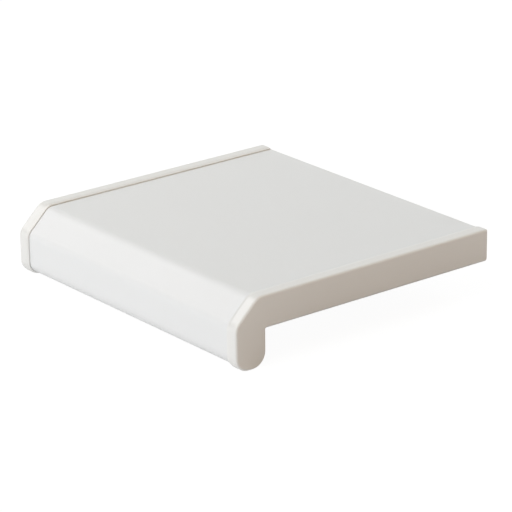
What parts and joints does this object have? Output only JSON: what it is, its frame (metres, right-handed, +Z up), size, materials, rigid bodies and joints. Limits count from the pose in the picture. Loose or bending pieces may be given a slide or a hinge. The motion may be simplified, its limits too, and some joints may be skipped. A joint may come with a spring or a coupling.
{
  "type": "window sill board",
  "caption": "Hollow plastic window sill board in white, with a drop-down bevelled nose and wrap-round end caps.",
  "frame": {"origin": "centre of the underside that beds on the wall, midway between the ends, from the nose's back to the window edge", "axes": "+X along the sill to the right-hand end as seen from the room, +Y from the nose to the window, +Z up"},
  "size_m": [0.2248, 0.2017, 0.0452],
  "materials": {
    "board_pvc": "satin",
    "cap_plastic": "satin"
  },
  "bodies": {
    "root": {"sill_board": "board_pvc", "end_cap_left": "cap_plastic", "end_cap_right": "cap_plastic"}
  },
  "joints": []
}
